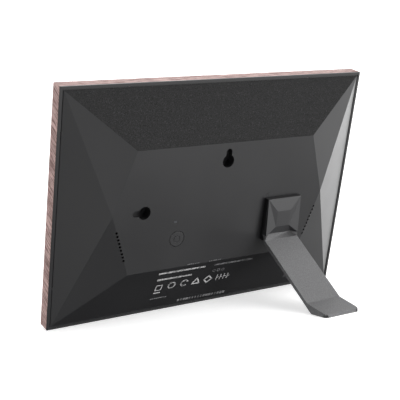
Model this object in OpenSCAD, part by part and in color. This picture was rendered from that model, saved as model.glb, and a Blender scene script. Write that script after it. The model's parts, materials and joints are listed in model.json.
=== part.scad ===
// Digital photo frame on a swivelling, folding easel leg, modelled piece by piece.
// Panel coordinates: x across the back, y out of the back, z up the panel. The panel
// coordinates are leant back at the end, so that the foot and the frame's lower rear
// edge stand on z = 0. All sizes are in millimetres.

/* [Screen and frame] */
// Width of the screen's picture area
screen_w = 172.3; // [140:0.1:210]
// Height of the screen's picture area
screen_h = 107.7; // [88:0.1:132]
// Width of the white mat that shows round the screen
mat_w = 11.2; // [4:0.1:20]
// Width of the wood-look border round the mat
border_w = 10; // [8:0.5:20]
// Depth of the wood-look surround
surround_depth = 8.2; // [8.2:0.1:14]
// Thickness of the surround's outer walls
surround_wall = 2.2; // [1.8:0.1:3]
// Thickness of the surround's front face
surround_face = 2.3; // [1.6:0.1:3]
// Play between parts that are dropped into place
fit_gap = 0.15; // [0.1:0.05:0.3]

/* [Back housing] */
// Thickness of the housing's rim, which shows as a black edge
rim_t = 1; // [0.8:0.1:1.5]
// Wall thickness of the housing
shell_t = 2.3; // [1.8:0.1:3]
// Height of the raised plateau above the rim
plateau_rise = 14.1; // [12:0.1:20]
// Length of the plateau's straight upper and lower edges
plateau_edge_w = 127.2; // [110:0.1:140]
// Width of the plateau between its two side points
plateau_tip_w = 153.2; // [145:0.1:165]
// Height of the plateau
plateau_h = 78.2; // [72:0.1:90]
// Width of the flat strip outside the rim's groove
rim_strip = 1.6; // [1:0.1:3]
// Width of the groove round the rim
groove_w = 0.6; // [0.4:0.1:1]

/* [Keyholes] */
// Radius of a keyhole's round end
keyhole_r = 4.1; // [3.5:0.1:5]
// Half width of a keyhole's slot
keyhole_slot_r = 2; // [1.6:0.1:2.5]
// Distance from a keyhole's round end to its narrow end
keyhole_run = 6; // [5:0.1:8]
// Height of the upper keyhole's round end above the middle
keyhole_top_z = 27.4; // [20:0.1:29]
// Distance of the side keyhole's round end from the middle
keyhole_side_x = 55.6; // [50:0.1:58]
// Depth of the cup behind a keyhole
keyhole_cup = 4.6; // [3:0.1:5]

/* [Power button] */
// Distance of the button from the middle
button_x = 31.2; // [24:0.1:35]
// Height of the button, negative below the middle
button_z = -19.7; // [-26:0.1:-16]
// Radius of the button's cap
button_r = 4.9; // [4:0.1:6]
// Travel of the button
button_travel = 0.5; // [0.3:0.1:0.8]
// Gap round the button's cap
button_gap = 0.3; // [0.2:0.05:0.5]

/* [Sound holes] */
// Number of sound holes on each side
sound_holes = 9; // [5:1:9]
// Spacing of the sound holes
sound_pitch = 2.45; // [2:0.05:2.6]
// Diameter of a sound hole
sound_d = 1.5; // [1:0.1:1.8]
// Distance of the first sound hole from the plateau's side point
sound_start = 11.1; // [9:0.1:13]

/* [Stand] */
// Width of the swivel base and of the leg
stand_w = 26; // [24:0.5:30]
// Length of the swivel base, up the panel
swivel_len = 27.5; // [26:0.5:30]
// Distance of the swivel's middle from the panel's middle
swivel_x = -45; // [-46:0.5:-42]
// Height of the swivel's middle, negative below the middle
swivel_z = -13.75; // [-15:0.25:-12]
// Height of the swivel base and its cap above the plateau
swivel_rise = 6.1; // [5.8:0.1:7]
// Radius of the spindle that turns in the housing
spindle_r = 7; // [6:0.1:8]
// Radial running clearance of the spindle
spindle_fit = 0.08; // [0.03:0.01:0.1]
// Angle of the open leg below the panel's outward normal
leg_slope = 23.2; // [18:0.1:28]
// Thickness of the leg
leg_t = 2.4; // [2:0.1:2.5]
// Distance from the hinge to the foot's heel
heel_reach = 63; // [55:0.5:80]
// Distance from the hinge to the bend above the foot
bend_reach = 56.2; // [50:0.1:58]
// Length of the foot's sole
sole_len = 14.2; // [12:0.1:18]
// Thickness of the foot's toe
toe_t = 1.9; // [1.5:0.1:2.5]
// Radius of the toe's corners
toe_r = 2.5; // [1:0.1:4]
// Radius of the hinge pin
pin_r = 0.75; // [0.6:0.05:0.85]

/* [Inside] */
// Thickness of the main board
board_t = 1.2; // [0.8:0.1:1.6]
// Height of the main board's front face above the rim
board_y = 3; // [2.8:0.1:3.2]
// Radius of the screws' shanks
screw_r = 0.8; // [0.7:0.05:1]
// Radial clearance of a screw in its pilot hole
screw_fit = 0.05; // [0.02:0.01:0.1]
// Radius of the screws' heads
screw_head_r = 1.75; // [1.5:0.05:1.9]
// Width of the power inlet's mouth
inlet_w = 8.94; // [8.9:0.01:9]
// Height of the power inlet's mouth
inlet_h = 3.26; // [3.2:0.01:3.4]
// Depth of the power inlet's shell
inlet_depth = 7.35; // [6.5:0.05:8]
// Distance of the power inlet from the middle
inlet_x = -71.5; // [-73:0.5:-70]
// Width of the bay that the power plug enters by
bay_w = 12; // [11.5:0.5:13]
// Length of the speakers
speaker_len = 26; // [22:0.5:27]
// Width of the speakers
speaker_w = 11; // [9:0.5:11.5]

/* [Hidden] */
$fn = 48;
nudge = 0.01;

// Outer sizes, which follow from the screen
margin = mat_w + border_w;
frame_w = screen_w + 2 * margin;
frame_h = screen_h + 2 * margin;
inner_w = frame_w - 2 * surround_wall;
inner_h = frame_h - 2 * surround_wall;
window_w = frame_w - 2 * border_w;
window_h = frame_h - 2 * border_w;

// Layers behind the front face, as places along y
seam_y = -rim_t;
front_y = seam_y - surround_depth;
glass_t = 1.1;
mat_t = 0.8;
lcd_t = 1;
plate_t = 0.8;
glass_lap = 2;
glass_y = front_y + surround_face;
mat_y = glass_y + glass_t;
lcd_y = mat_y + mat_t;
plate_y = seam_y - 0.2 - plate_t;
backlight_y = lcd_y + lcd_t;
lcd_edge = 5.5;
lcd_w = screen_w + 2 * lcd_edge;
lcd_h = screen_h + 2 * lcd_edge;

// Back of the housing
base_w = frame_w - 2 * (rim_strip + groove_w);
base_h = frame_h - 2 * (rim_strip + groove_w);
wall_y = plateau_rise - shell_t;
groove_depth = 0.5;

// Screws that hold the display stack, and the bosses that take them
boss_r = 2.3;
boss_sunk = 0.3;
boss_x = inner_w / 2 - boss_r + boss_sunk;
boss_z = inner_h / 2 - boss_r + boss_sunk;
boss_along_x = screen_w / 2 - 22;
boss_along_z = screen_h / 2 - 6;
head_t = 0.7;
chassis_holes = [
    for (side = [-1, 1], along = [-1, 1])
        each [[side * boss_x, along * boss_along_z], [along * boss_along_x, side * boss_z]]
];

// Snap tabs of the housing, which catch in the surround's walls
tab_w = 10;
tab_t = 1.2;
tab_drop = 4;
catch_t = 0.8;
catch_h = 1.1;
catch_rise = 0.5;
tab_along_x = screen_w / 2 - 2;
tab_places = [
    for (side = [-1, 1])
        each [
            [side, 0, 0], [side, tab_along_x, 0], [side, -tab_along_x, 0],
            [side, screen_h / 4, 90], [side, -screen_h / 4, 90]
        ]
];

// Main board
board_top = board_y + board_t;
board_low = -plateau_h / 2 - 4;
board_high = -2;
board_right = 42;
board_left = -30;
arm_left = inlet_x - 12.5;
arm_high = board_low + 13;
board_posts = [
    [38, -6], [38, board_low + 4], [-26, board_low + 4], [-26, -6],
    [arm_left + 3, arm_high - 6]
];
post_r = 2.2;
post_bite = 3.2;

// Mark beside the swivel
mark_x = swivel_x + 11.4;
mark_z = 2.5;
mark_outline = [[-2.1, -1.1], [2.1, -1.1], [0, 1.4]];
mark_middle = [0, -0.3];
mark_hollow = 0.5;
mark_rise = 0.2;

// Bay and power inlet
bay_wall = 1.6;
bay_floor = 2.2;
bay_high = board_low - fit_gap - bay_wall - 0.15;
bay_low = -base_h / 2 + 5.8;
inlet_y = board_top + inlet_h / 2;
inlet_clear = 0.08;
tongue_t = 0.7;
tongue_w = 6.7;
shell_gauge = 0.3;

// Button, switch and indicator
button_hole_r = button_r + button_gap;
button_flange_r = button_hole_r + 1;
button_flange_t = 0.8;
switch_w = 6;
switch_h = 3.5;
plunger_r = 1.75;
plunger_top = board_top + switch_h + 1.2;
led_x = 33.5;
led_z = -8.3;
led_w = 2.2;
led_h = 1;
led_gap = 0.1;

// Swivel
swivel_gap = 0.3;
swivel_y = plateau_rise + swivel_gap;
swivel_top = plateau_rise + swivel_rise;
cap_y = swivel_top - 2.8;
cap_drop_z = swivel_z - 5.25;
cap_edge_y = swivel_top - 2.2;
cap_shoulder_y = swivel_top - 0.24;
cap_flat_y = swivel_top - 1.15;
cap_flat_w = 10.4;
cap_flat_h = 10.5;
cap_inset = 0.3;
wing_sink = 0.1;
valley_w = 17.2;
washer_t = 0.4;
retainer_t = 1.2;
retainer_y = wall_y - 0.6 - retainer_t;
retainer_r = spindle_r + 3;
stop_tab_w = 3;
stop_tab_r = retainer_r + 2.4;
stop_post_r = 1.25;
stop_gap = 0.3;
swivel_screw_r = 4.2;

// Hinge of the leg
hinge_y = plateau_rise + 2.4;
hinge_z = swivel_z - swivel_len / 2 + 0.5;
leg_over = leg_t / 2 - 0.3;
leg_under = leg_t - leg_over;
ear_r = 1.5;
knuckle_r = 1.9;
knuckle_w = 16;
knuckle_side = 0.6;
knuckle_gap = 0.35;
pin_fit = 0.06;
pin_inset = 1.2;
lip_gap = 0.15;
root_y = 2.1;
root_z = -1.1;

// The leg's own directions, out along it and square to it, as y and z
along = [cos(leg_slope), -sin(leg_slope)];
square_to = [sin(leg_slope), cos(leg_slope)];
hinge = [hinge_y, hinge_z];
heel = hinge + heel_reach * along - leg_under * square_to;

// The panel leans back by this much, from the height of the heel over the lower edge
lean = atan((heel[1] + frame_h / 2) / heel[0]);
ground = [cos(lean), sin(lean)];
up = [-sin(lean), cos(lean)];
toe = heel + sole_len * ground;
toe_top = toe + toe_t * up;
bend = hinge + bend_reach * along + leg_over * square_to;
root_reach = (swivel_top - hinge_y - leg_over * square_to[0]) / along[0];
root = hinge + root_reach * along + leg_over * square_to;

// The cap's lower facet meets the leg's lip in a valley; the lip rises from there to the root
valley = [swivel_top - 3.3, hinge_z + 2.6];
lip_dir = (root - valley) / norm(root - valley);
lip_out = [-lip_dir[1], lip_dir[0]];
lip_back = ear_r * lip_out + (ear_r * lip_out[1] - valley[1] + hinge_z) / lip_dir[1] * -lip_dir;
cap_end = [hinge_y + lip_back[0], valley[1]];
lip_tip = valley - [0, lip_gap];
lip_under = hinge + (ear_r + lip_gap) * lip_out;
lip_heel = lip_tip - [(lip_tip - lip_under) * lip_out / lip_out[0], 0];

// Middle of the footprint, which becomes y = 0
rear_reach = toe[0] * cos(lean) + toe[1] * sin(lean);
front_reach = front_y * cos(lean) - frame_h / 2 * sin(lean);
footprint_y = (rear_reach + front_reach) / 2;

// Foot pad
pad_t = 0.6;
pad_len = 10.5;
pad_w = stand_w - 5;
pad_start = 2;

// ---- Shared shapes ----

// Stands the panel coordinates on the ground
module stood() {
    translate([0, -footprint_y, frame_h / 2 * cos(lean)])
        rotate([-lean, 0, 0])
            children();
}

// A block centred on x and z, from y0 to y1
module slab(w, h, y0, y1) {
    translate([-w / 2, y0, -h / 2])
        cube([w, y1 - y0, h]);
}

// A round bar along y, from y0 to y1, centred at x and z
module post(x, z, r, y0, y1) {
    translate([x, y0, z])
        rotate([-90, 0, 0])
            cylinder(r = r, h = y1 - y0);
}

// A block whose front and back outlines differ in size
module flared_slab(w0, h0, y0, w1, h1, y1) {
    corners = [[-1, -1], [1, -1], [1, 1], [-1, 1]];
    points = [
        for (c = corners) [c[0] * w0 / 2, y0, c[1] * h0 / 2],
        for (c = corners) [c[0] * w1 / 2, y1, c[1] * h1 / 2]
    ];
    faces = [
        [3, 2, 1, 0], [4, 5, 6, 7],
        for (i = [0:3]) [i, (i + 1) % 4, 4 + (i + 1) % 4, 4 + i]
    ];
    polyhedron(points, faces);
}

// The faceted back: a rectangle below, a six-sided plateau above, lowered by drop
module faceted_back(drop) {
    base = [[-1, -1], [1, -1], [1, 1], [-1, 1]];
    points = [
        for (c = base) [c[0] * base_w / 2, -drop, c[1] * base_h / 2],
        for (c = base) [c[0] * plateau_edge_w / 2, plateau_rise - drop, c[1] * plateau_h / 2],
        [plateau_tip_w / 2, plateau_rise - drop, 0],
        [-plateau_tip_w / 2, plateau_rise - drop, 0]
    ];
    faces = [
        [3, 2, 1, 0], [4, 5, 8, 6, 7, 9],
        [0, 1, 5, 4], [2, 3, 7, 6],
        [1, 8, 5], [1, 2, 8], [2, 6, 8],
        [3, 9, 7], [3, 0, 9], [0, 4, 9]
    ];
    polyhedron(points, faces);
}

// A profile drawn in y and z, extruded along x from x0 to x1
module along_x(x0, x1) {
    translate([x0, 0, 0])
        rotate([90, 0, 90])
            linear_extrude(x1 - x0)
                children();
}

// A run of straight wire through the points given
module wire(points, r) {
    for (i = [0:len(points) - 2])
        hull()
            for (end = [points[i], points[i + 1]])
                translate(end)
                    sphere(r = r, $fn = 8);
}

// A pan-head screw along y with a cross slot, its head towards -y
module cap_screw(x, z, seat_y, bite, head) {
    post(x, z, screw_r, seat_y - nudge, seat_y + bite);
    difference() {
        post(x, z, screw_head_r, seat_y - head, seat_y);
        for (turn = [0, 90])
            translate([x, seat_y - head, z])
                rotate([0, turn, 0])
                    cube([2.2, head, 0.45], center = true);
    }
}

// ---- Display stack ----

module surround() {
    color("rosybrown")
        stood() {
            difference() {
                slab(frame_w, frame_h, front_y, seam_y);
                slab(inner_w, inner_h, glass_y, seam_y + 1);
                slab(window_w, window_h, front_y - 1, glass_y + 1);
                flared_slab(
                    window_w + 2 * surround_face, window_h + 2 * surround_face, front_y - nudge,
                    window_w, window_h, front_y + surround_face - 0.8
                );
                catch_recesses();
            }
            for (at = chassis_holes)
                difference() {
                    post(at[0], at[1], boss_r, glass_y - nudge, plate_y);
                    post(at[0], at[1], screw_r + screw_fit, glass_y + 0.4, plate_y + 1);
                }
        }
}

// Places its children on each snap tab, with +z out through the surround's wall
module at_tabs() {
    for (tab = tab_places) {
        reach = (tab[2] == 0 ? inner_h : inner_w) / 2;
        side = tab[0];
        if (tab[2] == 0)
            translate([tab[1], 0, side * reach])
                rotate([0, side > 0 ? 0 : 180, 0])
                    children();
        else
            translate([side * reach, 0, tab[1]])
                rotate([0, side * 90, 0])
                    children();
    }
}

module catch_recesses() {
    at_tabs()
        translate([-tab_w / 2 - 0.5, seam_y - tab_drop + catch_rise - 0.25, -nudge])
            cube([tab_w + 1, catch_h + 0.5, catch_t + fit_gap]);
}

module cover_glass() {
    color("lightcyan")
        stood()
            slab(window_w + 2 * glass_lap, window_h + 2 * glass_lap, glass_y, mat_y);
}

module mat_board() {
    color("white")
        stood()
            difference() {
                slab(window_w + 2 * glass_lap, window_h + 2 * glass_lap, mat_y, lcd_y);
                flared_slab(
                    screen_w + 1, screen_h + 1, mat_y - nudge,
                    screen_w, screen_h, lcd_y + nudge
                );
                touch_notch(mat_y - 1, lcd_y + 1);
            }
}

touch_x = -16;
touch_w = 8;
touch_z = -lcd_h / 2 - 2.4;
ribbon_t = 0.2;

// Room for the touch ribbon below the screen
module touch_notch(y0, y1) {
    translate([touch_x, 0, touch_z])
        slab(touch_w + 2, 2.4, y0, y1);
}

module lcd_panel() {
    color("black")
        stood()
            slab(lcd_w, lcd_h, lcd_y, backlight_y);
}

module backlight_unit() {
    color("silver")
        stood()
            slab(lcd_w, lcd_h, backlight_y, plate_y);
}

display_x = 10;
display_w = 20;
display_slot_z = -lcd_h / 2 + 7;

module chassis_plate() {
    ear_w = 9;
    lip_w = 8;
    lip_depth = 2.4;
    edge_w = 2 * (boss_x - boss_r) - 1;
    edge_h = 2 * (boss_z - boss_r) - 1;
    color("lightgray")
        stood()
            difference() {
                union() {
                    slab(edge_w, edge_h, plate_y, plate_y + plate_t);
                    for (at = chassis_holes)
                        translate([at[0], 0, at[1]])
                            intersection() {
                                slab(ear_w, ear_w, plate_y, plate_y + plate_t);
                                translate([-at[0], 0, -at[1]])
                                    slab(inner_w - 1, inner_h - 1, plate_y, plate_y + plate_t);
                            }
                    for (side = [-1, 1], place = [-1, 1])
                        translate([
                            side * (lcd_w / 2 + fit_gap + plate_t / 2), 0, place * lcd_h / 4
                        ])
                            slab(plate_t, lip_w, plate_y - lip_depth, plate_y + nudge);
                }
                for (at = chassis_holes)
                    post(at[0], at[1], screw_r + 0.2, plate_y - 1, plate_y + plate_t + 1);
                translate([display_x, 0, display_slot_z])
                    slab(display_w + 2, 8, plate_y - 1, plate_y + plate_t + 1);
                touch_notch(plate_y - 1, plate_y + plate_t + 1);
            }
}

module chassis_screws() {
    color("dimgray")
        stood()
            for (at = chassis_holes)
                translate([0, 2 * (plate_y + plate_t), 0])
                    mirror([0, 1, 0])
                        cap_screw(at[0], at[1], plate_y + plate_t, 3.6, head_t);
}

// ---- Back housing ----

crease_run = [(plateau_tip_w - plateau_edge_w) / 2, plateau_h / 2];
crease_dir = crease_run / norm(crease_run);
crease_turn = atan(crease_run[0] / crease_run[1]);

function sound_place(i) = [
    plateau_tip_w / 2 - (sound_start + i * sound_pitch) * crease_dir[0],
    -(sound_start + i * sound_pitch) * crease_dir[1]
];

module keyhole_cut() {
    post(0, 0, keyhole_r, wall_y - 1, plateau_rise + 1);
    post(0, keyhole_run, keyhole_slot_r, wall_y - 1, plateau_rise + 1);
    translate([0, 0, keyhole_run / 2])
        slab(2 * keyhole_slot_r, keyhole_run, wall_y - 1, plateau_rise + 1);
}

// A long round-ended room behind the keyhole, grown outwards by skin
module keyhole_room(skin, y0) {
    r = keyhole_r + skin;
    post(0, 0, r, y0, wall_y + nudge);
    post(0, keyhole_run, r, y0, wall_y + nudge);
    translate([0, 0, keyhole_run / 2])
        slab(2 * r, keyhole_run, y0, wall_y + nudge);
}

module at_keyholes() {
    translate([0, 0, keyhole_top_z])
        children();
    translate([keyhole_side_x, 0, 0])
        rotate([0, 90, 0])
            children();
}

module bay_block(grow, y0, z0, z1) {
    translate([inlet_x - bay_w / 2 - grow, y0, z0])
        cube([bay_w + 2 * grow, plateau_rise, z1 - z0]);
}

module rear_housing() {
    cup_play = 0.4;
    cup_skin = cup_play + 1.2;
    color([0.13, 0.13, 0.14])
        stood() {
            difference() {
                union() {
                    difference() {
                        union() {
                            slab(frame_w, frame_h, seam_y, 0);
                            faceted_back(0);
                        }
                        faceted_back(shell_t);
                    }
                    at_keyholes()
                        keyhole_room(cup_skin, wall_y - keyhole_cup - cup_skin);
                    intersection() {
                        faceted_back(0);
                        bay_block(
                            bay_wall, bay_floor - bay_wall, bay_low - bay_wall,
                            bay_high + bay_wall
                        );
                    }
                    intersection() {
                        faceted_back(0);
                        for (at = board_posts)
                            post(at[0], at[1], post_r, board_top, plateau_rise);
                    }
                    for (at = stop_posts)
                        post(
                            swivel_x + at[0], swivel_z + at[1], stop_post_r,
                            retainer_y, wall_y + nudge
                        );
                }
                at_keyholes() {
                    keyhole_room(cup_play, wall_y - keyhole_cup);
                    keyhole_cut();
                }
                difference() {
                    slab(base_w + 2 * groove_w, base_h + 2 * groove_w, -groove_depth, 1);
                    slab(base_w, base_h, -1, 2);
                }
                bay_block(0, bay_floor, bay_low, bay_high);
                translate([inlet_x, inlet_y, bay_high])
                    cube([
                        inlet_w + 2 * inlet_clear, inlet_h + 2 * inlet_clear, 4 * bay_wall
                    ], center = true);
                for (at = board_posts)
                    post(at[0], at[1], screw_r + screw_fit, board_top - 1, board_top + 3.4);
                for (at = chassis_holes)
                    post(at[0], at[1], screw_head_r + 0.5, seam_y - 1, -0.1);
                for (side = [-1, 1], i = [0:sound_holes - 1])
                    post(
                        side * sound_place(i)[0], sound_place(i)[1], sound_d / 2,
                        wall_y - 3, plateau_rise + 1
                    );
                post(button_x, button_z, button_hole_r, wall_y - 1, plateau_rise + 1);
                translate([led_x, 0, led_z])
                    slab(led_w + 2 * led_gap, led_h + 2 * led_gap, wall_y - 1, plateau_rise + 1);
                post(
                    swivel_x, swivel_z, spindle_r + spindle_fit, wall_y - 1, plateau_rise + 1
                );
            }
            snap_tabs();
            alignment_mark();
        }
}

module snap_tabs() {
    at_tabs() {
        translate([-tab_w / 2, seam_y - tab_drop, -tab_t - fit_gap])
            cube([tab_w, tab_drop + 0.4, tab_t]);
        translate([-tab_w / 2, seam_y - tab_drop + catch_rise, -fit_gap - nudge])
            cube([tab_w, catch_h, catch_t]);
    }
}

// A small raised outline of a triangle beside the swivel, pointing down
module alignment_mark() {
    translate([mark_x, plateau_rise - nudge, mark_z])
        rotate([-90, 0, 0])
            linear_extrude(mark_rise)
                difference() {
                    polygon(mark_outline);
                    polygon([for (at = mark_outline) mark_hollow * at + (1 - mark_hollow) * mark_middle]);
                }
}

// ---- Electronics ----

module main_board() {
    color("darkgreen")
        stood()
            difference() {
                translate([0, board_top, 0])
                    rotate([90, 0, 0])
                        linear_extrude(board_t)
                            polygon([
                                [board_right, board_low], [board_right, board_high],
                                [board_left, board_high], [board_left, arm_high],
                                [arm_left, arm_high], [arm_left, board_low]
                            ]);
                for (at = board_posts)
                    post(at[0], at[1], screw_r + 0.2, board_y - 1, board_top + 1);
            }
}

module board_screws() {
    color("silver")
        stood()
            for (at = board_posts)
                cap_screw(at[0], at[1], board_y, board_t + post_bite - 0.1, 1);
}

// A chip or module standing on the main board's rear face
module on_board(x, z, w, h, t) {
    translate([x, 0, z])
        slab(w, h, board_top, board_top + t);
}

module processor_shield() {
    color("silver")
        stood()
            difference() {
                on_board(6, -24, 22, 22, 2);
                translate([6, 0, -24])
                    slab(21.4, 21.4, board_top - 1, board_top + 1.7);
            }
}

module memory_chip() {
    color("black")
        stood()
            on_board(-14, -16, 11.5, 13, 1);
}

module wireless_module() {
    color("gray")
        stood()
            on_board(-22 + 6, -32, 12, 12, 1.8);
}

module antenna() {
    color("goldenrod")
        stood()
            translate([20, 0, 26])
                slab(14, 7, wall_y - 0.3, wall_y);
}

module antenna_lead() {
    lead_r = 0.5;
    color("dimgray")
        stood()
            wire([
                [20, wall_y - 0.3 - lead_r, 24], [20, 8.5, 12], [22, 8, 0],
                [-6, 8, -4], [-16, 8, -30], [-16, board_top + 1.8 + lead_r, -32]
            ], lead_r);
}

connector_t = 1.2;

module display_connector() {
    color("ivory")
        stood()
            translate([display_x, 0, board_low + 5])
                slab(display_w + 2, 4, board_y - connector_t, board_y);
}

module touch_connector() {
    color("ivory")
        stood()
            translate([touch_x, 0, board_low + 5])
                slab(touch_w + 2, 4, board_y - connector_t, board_y);
}

module display_ribbon() {
    flat_y = board_y - connector_t / 2;
    end_z = board_low + 3;
    rise_z = display_slot_z + 2;
    color("darkorange")
        stood()
            along_x(display_x - display_w / 2, display_x + display_w / 2)
                polygon([
                    [plate_y, display_slot_z - 3], [plate_y, rise_z],
                    [flat_y, rise_z], [flat_y, end_z],
                    [flat_y + ribbon_t, end_z], [flat_y + ribbon_t, rise_z - ribbon_t],
                    [plate_y + ribbon_t, rise_z - ribbon_t],
                    [plate_y + ribbon_t, display_slot_z - 3]
                ]);
}

module touch_ribbon() {
    flat_y = board_y - connector_t / 2;
    end_z = board_low + 3;
    color("darkorange")
        stood()
            along_x(touch_x - touch_w / 2, touch_x + touch_w / 2)
                polygon([
                    [mat_y, touch_z - 1], [mat_y, touch_z], [0, touch_z],
                    [flat_y, touch_z + 8], [flat_y, end_z], [flat_y + ribbon_t, end_z],
                    [flat_y + ribbon_t, touch_z + 8 - ribbon_t], [0, touch_z - ribbon_t],
                    [mat_y + ribbon_t, touch_z - ribbon_t], [mat_y + ribbon_t, touch_z - 1]
                ]);
}

// A flat tube with round sides, along z
module round_sided(w, h, z0, z1) {
    translate([0, 0, z0])
        linear_extrude(z1 - z0)
            union() {
                square([w - h, h], center = true);
                for (side = [-1, 1])
                    translate([side * (w - h) / 2, 0])
                        circle(r = h / 2);
            }
}

module inlet_shell() {
    mouth_z = bay_high + 0.05;
    color("silver")
        stood()
            translate([inlet_x, inlet_y, 0])
                difference() {
                    round_sided(inlet_w, inlet_h, mouth_z, mouth_z + inlet_depth);
                    round_sided(
                        inlet_w - 2 * shell_gauge, inlet_h - 2 * shell_gauge,
                        mouth_z - 1, mouth_z + inlet_depth - 1
                    );
                }
}

module inlet_tongue() {
    mouth_z = bay_high + 0.05;
    color("black")
        stood()
            translate([inlet_x, inlet_y, mouth_z + 0.8])
                translate([-tongue_w / 2, -tongue_t / 2, 0])
                    cube([tongue_w, tongue_t, inlet_depth - 1.8]);
}

// ---- Button, switch and indicator ----

module power_button() {
    ring_r = 2.1;
    ring_w = 0.3;
    stem_r = 1.6;
    color([0.16, 0.16, 0.17])
        stood()
            difference() {
                union() {
                    post(button_x, button_z, button_r, wall_y - 0.5, plateau_rise);
                    post(
                        button_x, button_z, button_flange_r,
                        wall_y - 0.2 - button_flange_t, wall_y - 0.2
                    );
                    post(button_x, button_z, stem_r, plunger_top, wall_y - 0.5);
                }
                difference() {
                    post(
                        button_x, button_z, ring_r + ring_w / 2, plateau_rise - ring_w,
                        plateau_rise + 1
                    );
                    post(
                        button_x, button_z, ring_r - ring_w / 2, plateau_rise - 2 * ring_w,
                        plateau_rise + 2
                    );
                }
            }
}

module tact_switch() {
    color("dimgray")
        stood()
            difference() {
                on_board(button_x, button_z, switch_w, switch_w, switch_h);
                post(button_x, button_z, plunger_r + 0.3, board_top + 2, board_top + 5);
                post(button_x, button_z, 2.5, board_top + 0.5, board_top + 2.6);
            }
}

module switch_plunger() {
    color("ivory")
        stood()
            post(button_x, button_z, plunger_r, board_top + 1.4, plunger_top);
}

module switch_dome() {
    color("gold")
        stood()
            post(button_x, button_z, 2.3, board_top + 0.5, board_top + 0.7);
}

module indicator_led() {
    color("white")
        stood()
            on_board(led_x, led_z, 1.6, 0.8, 0.6);
}

module light_pipe() {
    color("lightblue")
        stood()
            translate([led_x, 0, led_z]) {
                slab(led_w, led_h, board_top + 0.9, plateau_rise);
                slab(led_w + 2, led_h + 2, wall_y - 0.8, wall_y);
            }
}

// ---- Speakers ----

// Places its children along a crease of the plateau, behind the sound holes
module at_speaker(side) {
    middle = sound_place((sound_holes - 1) / 2);
    translate([side * middle[0], 0, middle[1]])
        rotate([0, side * crease_turn, 0])
            translate([side * (1.6 - speaker_w / 2), 0, 0])
                children();
}

gasket_t = 0.7;
gasket_y = wall_y - 1.6;
lead_y = gasket_y - 3.3;

module speaker_box(side) {
    color([0.2, 0.2, 0.22])
        stood()
            at_speaker(side)
                difference() {
                    slab(speaker_w, speaker_len, gasket_y - 4.4, gasket_y);
                    slab(speaker_w - 2, speaker_len - 2, gasket_y - 0.6, gasket_y + 1);
                }
}

module speaker_gasket(side) {
    color("gray")
        stood()
            at_speaker(side)
                difference() {
                    slab(speaker_w, speaker_len, gasket_y, gasket_y + gasket_t);
                    slab(speaker_w - 2, speaker_len - 2, gasket_y - 1, gasket_y + 2);
                }
}

socket_places = [[-27, -12], [39, -30]];

module speaker_socket(at) {
    color("ivory")
        stood()
            on_board(at[0], at[1], 4, 3, 1.6);
}

module speaker_lead(points) {
    color("firebrick")
        stood()
            wire(points, 0.45);
}

module speaker_left() { speaker_box(-1); }
module speaker_right() { speaker_box(1); }
module speaker_gasket_left() { speaker_gasket(-1); }
module speaker_gasket_right() { speaker_gasket(1); }
module speaker_socket_left() { speaker_socket(socket_places[0]); }
module speaker_socket_right() { speaker_socket(socket_places[1]); }

module speaker_lead_left() {
    speaker_lead([
        [-30.5, board_top + 1, -12], [-36, lead_y, -12], [-54, lead_y, -13],
        [-60, lead_y, -16]
    ]);
}

module speaker_lead_right() {
    speaker_lead([
        [42.5, board_top + 1, -30], [50, lead_y, -27], [58, lead_y, -24]
    ]);
}

// ---- Swivelling stand ----

stop_posts = [
    let (reach = stop_tab_r - stop_post_r, off = stop_tab_w / 2 + stop_gap + stop_post_r)
        each [[-off, reach], [reach, -off]]
];

peg_r = 1.2;
peg_places = [[-9, 9], [9, 9], [-9, -3], [9, -3]];

module swivel_base() {
    top_z = swivel_z + swivel_len / 2;
    color([0.05, 0.05, 0.055])
        stood()
            difference() {
                union() {
                    along_x(swivel_x - stand_w / 2, swivel_x + stand_w / 2) {
                        polygon([
                            [swivel_y, hinge_z], [swivel_y, top_z], [cap_y, top_z],
                            [cap_y, cap_drop_z], cap_end, hinge + ear_r * lip_out, hinge
                        ]);
                        translate(hinge)
                            circle(r = ear_r);
                        translate([swivel_y, hinge_z - 1.3])
                            square([1.6, 1.3]);
                    }
                    post(
                        swivel_x, swivel_z, spindle_r, retainer_y + retainer_t,
                        swivel_y + nudge
                    );
                }
                knuckle_slot();
                hinge_bore(pin_r + 0.01);
                for (at = peg_places)
                    post(
                        swivel_x + at[0], swivel_z + at[1], peg_r + 0.05, cap_y - 2.4,
                        cap_y + 1
                    );
                for (turn = [30, 150, 270])
                    post(
                        swivel_x + swivel_screw_r * cos(turn),
                        swivel_z + swivel_screw_r * sin(turn),
                        screw_r + screw_fit, retainer_y, swivel_y + 2.5
                    );
            }
}

// The slot between the swivel base's two ears, which the leg's knuckle turns in
module knuckle_slot() {
    half = knuckle_w / 2 + knuckle_side;
    along_x(swivel_x - half, swivel_x + half) {
        translate(hinge)
            circle(r = knuckle_r + knuckle_gap);
        translate([hinge_y - 4, hinge_z - 5])
            square([8, 5]);
        polygon([
            hinge, hinge + [5, 2.4], hinge + [5, -3]
        ]);
    }
}

module hinge_bore(r) {
    translate([swivel_x - stand_w / 2 - 1, hinge_y, hinge_z])
        rotate([0, 90, 0])
            cylinder(r = r, h = stand_w + 1 - pin_inset);
}

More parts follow.
